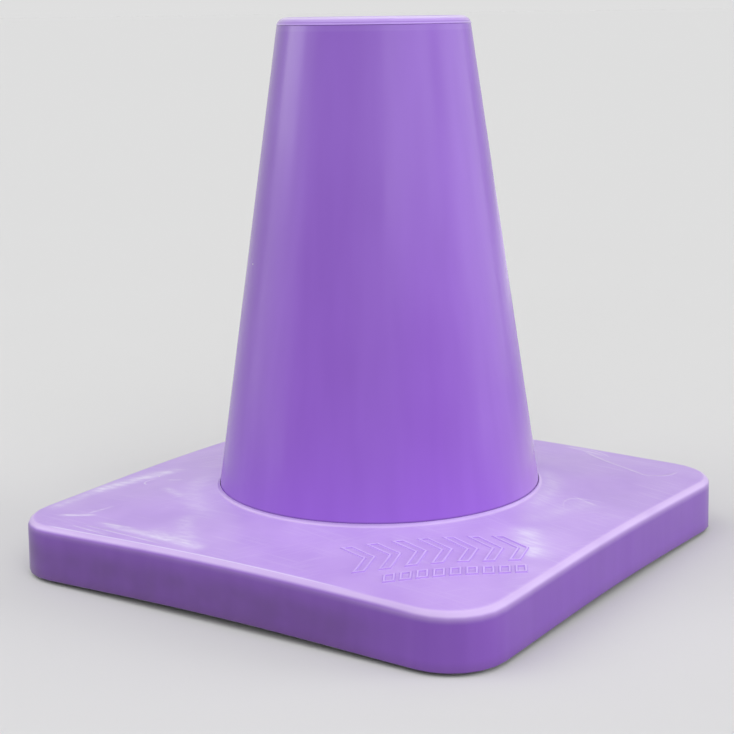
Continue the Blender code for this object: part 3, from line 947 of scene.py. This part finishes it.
def make_cover_vinyl():
    finish, tree, shader = new_finish("cover_vinyl", VINYL_IOR)
    grain = use(tree, moulded_grain, **COVER_GRAIN)["Height"]
    height, sheen = add_folds(tree, grain, 0.0)
    feed(tree, shader.inputs["Base Color"], cover_colour(tree, sheen))
    feed(tree, shader.inputs["Roughness"], patches(tree, **COVER_GLOSS))
    bump(tree, shader, height)
    return finish


cover_vinyl = make_cover_vinyl()
dress(cover, cover_vinyl)
print("cover:", cover.data.materials[0].name)

# %% [markdown]
# ## The ballast plate's rubber
#
# The plate is pressed from rubber crumb, so its black is mottled with grey
# grains and its skin is pitted. It is dull, with dried earth in the pits.

# %% Ballast rubber
RUBBER_BLACK = (0.018, 0.018, 0.020, 1)
CRUMB_GREY = (0.060, 0.058, 0.056, 1)
DRIED_EARTH = (0.170, 0.130, 0.090, 1)
RUBBER_IOR = 1.5
CRUMBS_PER_METRE = 420.0
CRUMB_CONTRAST = 3.0
PIT_HEIGHT = -0.00018
EARTH_SIZE = 0.03
EARTH_FADE = (0.52, 0.72, 0.0, 0.45)
RUB_SHARE = 0.25
RUBBER_DULLNESS = (0.72, 0.88)
RUBBER_MARKS = dict(Heading=0.2, Length=0.04, Width=0.0015, Patch_Size=0.05, Cover=0.5)
RUBBER_GRAIN = dict(Grain_Size=0.0009, Grain_Height=0.00010, Ripple_Size=0.03, Ripple_Height=0.00020)


def make_ballast_rubber():
    finish, tree, shader = new_finish("ballast_rubber", RUBBER_IOR)
    crumbs = tree.nodes.new("ShaderNodeTexVoronoi")
    feed(tree, crumbs.inputs["Vector"], where(tree))
    crumbs.inputs["Scale"].default_value = CRUMBS_PER_METRE
    mottle = calc(tree, "POWER", along(tree, crumbs.outputs["Color"])[0], CRUMB_CONTRAST)
    body = blend(tree, mottle, RUBBER_BLACK, CRUMB_GREY)
    earth = soft_step(tree, cloud(tree, where(tree), EARTH_SIZE, 6.0), *EARTH_FADE)
    body = blend(tree, earth, body, DRIED_EARTH)
    rubbed = use(tree, wipe_marks, **RUBBER_MARKS)["Mask"]
    body = blend(tree, times(tree, rubbed, RUB_SHARE), body, CRUMB_GREY)
    feed(tree, shader.inputs["Base Color"], body)
    feed(tree, shader.inputs["Roughness"], soft_step(tree, mottle, 0.0, 1.0, *RUBBER_DULLNESS))
    grain = use(tree, moulded_grain, **RUBBER_GRAIN)["Height"]
    bump(tree, shader, calc(tree, "MULTIPLY_ADD", crumbs.outputs["Distance"], PIT_HEIGHT, grain))
    return finish


dress(plate, make_ballast_rubber())
print("plate:", plate.data.materials[0].name)

# %% [markdown]
# ## A thin relief on the base
#
# Cones like this carry raised marks on the base, cut into the mould. Here the
# place has a row of outlined chevrons and a row of small outlined blocks, a
# little over half a millimetre high, in vinyl like the cover's.
#
# Marks that thin could be a bump, but real geometry has edges that catch the
# light from any side. Each outline is a narrow strip with sloping shoulders.
# Its points are found by casting rays down onto the cover, so that the strip
# follows the climbing surface, and its foot is sunk a little into it.

# %% Find the cover's surface
def surface_finder(node):
    """A function that gives the point and the normal of a node's top at x, y."""
    points = [vertex.co.copy() for vertex in node.data.vertices]
    faces = [tuple(face.vertices) for face in node.data.polygons]
    tree = BVHTree.FromPolygons(points, faces)
    top = max(point.z for point in points)

    def find(x, y):
        place, normal = tree.ray_cast(Vector((x, y, top + 1)), Vector((0, 0, -1)))[:2]
        return place, (normal if normal.z > 0 else -normal)

    return find


on_cover = surface_finder(cover)
print("cover top at 100 mm, -90 mm:", tuple(round(c, 4) for c in on_cover(0.100, -0.090)[0]))

# %% A strip that follows an outline on the surface
RELIEF_HEIGHT = 0.0006
RELIEF_WIDTH = 0.0018
RELIEF_SHOULDER = 0.0005
RELIEF_SINK = 0.0003
STEP_LENGTH = 0.006
SHARPEST_MITRE = 0.5


def strip_section():
    """Half widths and heights of a strip, from one foot over the top to the other."""
    half = RELIEF_WIDTH / 2
    return (
        (-half, -RELIEF_SINK),
        (-half, 0),
        (-half + RELIEF_SHOULDER, RELIEF_HEIGHT),
        (half - RELIEF_SHOULDER, RELIEF_HEIGHT),
        (half, 0),
        (half, -RELIEF_SINK),
    )


def stepped(corners):
    """A closed outline's corners with even steps between them."""
    line = []
    for first, second in zip(corners, corners[1:] + corners[:1]):
        steps = max(1, round(math.dist(first, second) / STEP_LENGTH))
        line += [Vector(first).lerp(Vector(second), step / steps) for step in range(steps)]
    return line


def add_strip(bm, line):
    """Sweeps the section round a closed line of (x, y), laid on the cover."""
    rings = []
    for i, here in enumerate(line):
        first = (here - line[i - 1]).normalized()
        second = (line[(i + 1) % len(line)] - here).normalized()
        heading = (first + second).normalized()
        mitre = 1 / max(heading.dot(first), SHARPEST_MITRE)
        side = Vector((-heading.y, heading.x)) * mitre
        ring = []
        for offset, rise in strip_section():
            place, normal = on_cover(here.x + side.x * offset, here.y + side.y * offset)
            ring.append(bm.verts.new(place + normal * rise))
        rings.append(ring)
    for ring, following in zip(rings, rings[1:] + rings[:1]):
        for i in range(len(ring)):
            bm.faces.new((ring[i - 1], ring[i], following[i], following[i - 1]))


print("section:", strip_section())

# %% Rows of chevrons and blocks
ROW_HEADING = math.radians(45)
CHEVRON_ROW = 0.1245
CHEVRON_START = -0.037
CHEVRONS = 7
CHEVRON_PITCH = 0.0132
CHEVRON_DEPTH = 0.0085
CHEVRON_HEIGHT = 0.0300
CHEVRON_THICKNESS = 0.0050
BLOCK_ROW = 0.1510
BLOCK_START = -0.026
BLOCKS = 9
BLOCK_PITCH = 0.0083
BLOCK_LENGTH = 0.0048
BLOCK_HEIGHT = 0.0075
BLOCK_SLANT = 0.0020


def on_row(row, ahead, out):
    """A point on a row that crosses the front corner's diagonal at a distance from the axis."""
    turned_x, turned_y = math.cos(ROW_HEADING), math.sin(ROW_HEADING)
    return turned_x * ahead + turned_y * (row + out), turned_y * ahead - turned_x * (row + out)


def chevron_outline(place):
    """A chevron's outline of (x, y), pointing along its row."""
    back, tip, top = -CHEVRON_DEPTH / 2, CHEVRON_DEPTH / 2, CHEVRON_HEIGHT / 2
    corners = (
        (back, top),
        (tip, 0),
        (back, -top),
        (back + CHEVRON_THICKNESS, -top),
        (tip + CHEVRON_THICKNESS, 0),
        (back + CHEVRON_THICKNESS, top),
    )
    return stepped([on_row(CHEVRON_ROW, place + ahead, out) for ahead, out in corners])


def block_outline(place):
    """A small slanted block's outline of (x, y)."""
    half, top, lean = BLOCK_LENGTH / 2, BLOCK_HEIGHT / 2, BLOCK_SLANT / 2
    corners = ((-half - lean, top), (half - lean, top), (half + lean, -top), (-half + lean, -top))
    return stepped([on_row(BLOCK_ROW, place + ahead, out) for ahead, out in corners])


print("first block:", [tuple(round(c, 4) for c in point) for point in block_outline(BLOCK_START)])

# %% Relief vinyl
# Painted shade on the strips' shoulders and a painted highlight on their tops.
RELIEF_SHADE = (0.380, 0.210, 0.690, 1)
RELIEF_HIGHLIGHT_TOP = (0.660, 0.500, 0.910, 1)
RELIEF_TOP_FADE = (0.55, 0.9)
RELIEF_DRIFT = dict(Cloud_Size=0.02, Streak_Size=0.008, Drift=0.05)
RELIEF_GLOSS = dict(size=0.02, low=0.29, high=0.37, detail=0.5)
RELIEF_GRAIN = dict(Grain_Size=0.0008, Grain_Height=0.000010, Ripple_Size=0.02, Ripple_Height=0.00005)


def make_relief_vinyl():
    finish, tree, shader = new_finish("relief_vinyl", VINYL_IOR)
    # Shoulders in painted shade, tops in painted highlight.
    body = blend(tree, soft_step(tree, facing(tree)[2], *RELIEF_TOP_FADE), RELIEF_SHADE, RELIEF_HIGHLIGHT_TOP)
    body = use(tree, pigment_drift, Colour=body, **RELIEF_DRIFT)["Colour"]
    feed(tree, shader.inputs["Base Color"], body)
    feed(tree, shader.inputs["Roughness"], patches(tree, **RELIEF_GLOSS))
    bump(tree, shader, use(tree, moulded_grain, **RELIEF_GRAIN)["Height"])
    return finish


relief_vinyl = make_relief_vinyl()
print("relief finish:", relief_vinyl.name)

# %% Make the relief
def make_relief():
    bm = bmesh.new()
    for number in range(CHEVRONS):
        add_strip(bm, chevron_outline(CHEVRON_START + CHEVRON_PITCH * number))
    for number in range(BLOCKS):
        add_strip(bm, block_outline(BLOCK_START + BLOCK_PITCH * number))
    bmesh.ops.recalc_face_normals(bm, faces=bm.faces)
    mesh = bpy.data.meshes.new("relief_marks")
    bm.to_mesh(mesh)
    bm.free()
    mesh.shade_smooth()
    mesh.set_sharp_from_angle(angle=CRISP_TURN)
    mesh.materials.append(relief_vinyl)
    piece = bpy.data.objects.new("relief_marks", mesh)
    bpy.context.scene.collection.objects.link(piece)
    return piece


relief = make_relief()
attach(relief, "root")
print("relief:", len(relief.data.polygons), "faces")

# %% [markdown]
# ## Floor and backdrop
#
# The cone stands on a plain pale floor that runs to the horizon, and the world
# behind it is as pale, so that no line shows where they meet.
#
# Only what the camera and the reflections see is that pale. For light that is
# scattered on, the floor is dark, as grass or asphalt is: the base's lower
# faces would be washed out otherwise. Light Path tells the two apart, and the
# floor keeps the cone's shadow.

# %% Floor
PAPER = 0.69
GROUND = 0.13
FLOOR_HALF = 300.0
PAPER_IOR = 1.5
PAPER_DULLNESS = 0.9


def grey(value):
    """A neutral colour."""
    return (value, value, value, 1)


def seen_directly(tree):
    """1 for rays from the camera, a reflection or through glass, 0 for scattered light."""
    rays = tree.nodes.new("ShaderNodeLightPath").outputs
    mirror = calc(tree, "MAXIMUM", rays["Is Glossy Ray"], rays["Is Transmission Ray"])
    return calc(tree, "MAXIMUM", rays["Is Camera Ray"], mirror)


def make_floor():
    bm = bmesh.new()
    bmesh.ops.create_grid(bm, x_segments=1, y_segments=1, size=FLOOR_HALF)
    mesh = bpy.data.meshes.new("floor")
    bm.to_mesh(mesh)
    bm.free()
    finish, tree, shader = new_finish("floor_paper", PAPER_IOR)
    feed(tree, shader.inputs["Base Color"], blend(tree, seen_directly(tree), grey(GROUND), grey(PAPER)))
    shader.inputs["Roughness"].default_value = PAPER_DULLNESS
    shader.inputs["Specular IOR Level"].default_value = 0.0
    mesh.materials.append(finish)
    floor = bpy.data.objects.new("floor", mesh)
    bpy.context.scene.collection.objects.link(floor)
    return floor


make_floor()
print("floor %.2f to the eye, %.2f to scattered light" % (PAPER, GROUND))

# %% World
DOME = 0.50
BACKDROP = 0.74


def make_world():
    world = bpy.data.worlds.new("studio_dome")
    world.use_nodes = True
    tree = world.node_tree
    dome = tree.nodes["Background"]
    feed(tree, dome.inputs["Color"], blend(tree, seen_directly(tree), grey(DOME), grey(BACKDROP)))
    dome.inputs["Strength"].default_value = 1.0
    bpy.context.scene.world = world


make_world()
print("dome %.2f, backdrop %.2f" % (DOME, BACKDROP))

# %% [markdown]
# ## Lamps
#
# The even dome gives about half of the light on the base top. Four wide, soft
# suns add the rest: the right face of the base is a little lighter than the
# left one, and the wall brightens slowly towards the right. The suns are kept
# out of the gloss.
#
# The upright panels are there for the gloss alone. The tall ones draw a sheen
# down the sleeve, with a soft border where the panel ends, and the gap between
# the left and the right ones leaves the darker band in the middle of the cone.

# %% Lamp helpers
AIM_HEIGHT = 0.15
SUN_DISTANCE = 2.0
PANEL_DISTANCE = 1.2


def add_lamp(name, kind, heading, distance, height, **settings):
    """A lamp round the cone at a heading in degrees from +X, out of the camera's sight."""
    data = bpy.data.lights.new(name, kind)
    for title, value in settings.items():
        setattr(data, title, value)
    lamp = bpy.data.objects.new(name, data)
    turn = math.radians(heading)
    lamp.location = (distance * math.cos(turn), distance * math.sin(turn), height)
    lamp.visible_camera = False
    bpy.context.scene.collection.objects.link(lamp)
    return lamp


def turn_lamp(lamp, target):
    """Aims a lamp at a point."""
    lamp.rotation_euler = (Vector(target) - lamp.location).to_track_quat("-Z", "Y").to_euler()


def add_sun(name, heading, climb, width, strength):
    """A far, soft lamp for the matt share. Strength 1 lights a white card that faces it fully white."""
    rise = AIM_HEIGHT + SUN_DISTANCE * math.tan(math.radians(climb))
    power = math.pi * strength
    sun = add_lamp(name, "SUN", heading, SUN_DISTANCE, rise, energy=power, angle=math.radians(width))
    turn_lamp(sun, (0, 0, AIM_HEIGHT))
    sun.visible_glossy = False


def add_panel(name, first, last, low, high, brightness):
    """An upright panel for the gloss, between two headings in degrees and two heights."""
    width = 2 * PANEL_DISTANCE * math.tan(math.radians(last - first) / 2)
    middle = (low + high) / 2
    power = brightness * math.pi * width * (high - low)
    panel = add_lamp(
        name, "AREA", (first + last) / 2, PANEL_DISTANCE, middle, shape="RECTANGLE", size=width,
        size_y=high - low, energy=power,
    )
    turn_lamp(panel, (0, 0, middle))
    panel.visible_diffuse = False


print("lamp helpers ready")

# %% Suns and panels
# name, heading, climb and width in degrees, strength
SUNS = (
    ("key_sun", -45, 45, 50, 0.36),
    ("left_sun", -135, 45, 50, 0.28),
    ("low_right_sun", 30, 8, 35, 0.57),
    ("low_front_sun", -60, 8, 35, 0.14),
)
# name, first and last heading in degrees, lower and upper edge in metres, brightness
PANELS = (
    ("left_panel", -172, -127, 0.0, 1.0, 0.64),
    ("left_top_panel", -174, -144, 0.35, 1.0, 1.40),
    ("front_top_panel", -48, 7, 0.35, 1.0, 1.15),
    ("right_panel", -7, 22, 0.0, 1.0, 0.28),
    ("far_right_panel", 22, 67, 0.0, 1.0, 0.90),
    ("streak_panel", 37, 52, 0.35, 1.0, 1.60),
    ("low_back_panel", 74, 112, 0.0, 0.12, 0.40),
)
for sun in SUNS:
    add_sun(*sun)
for panel in PANELS:
    add_panel(*panel)

# %% [markdown]
# ## Colour
#
# The Standard view shows colours as they are written.

# %% View
bpy.context.scene.view_settings.view_transform = "Standard"
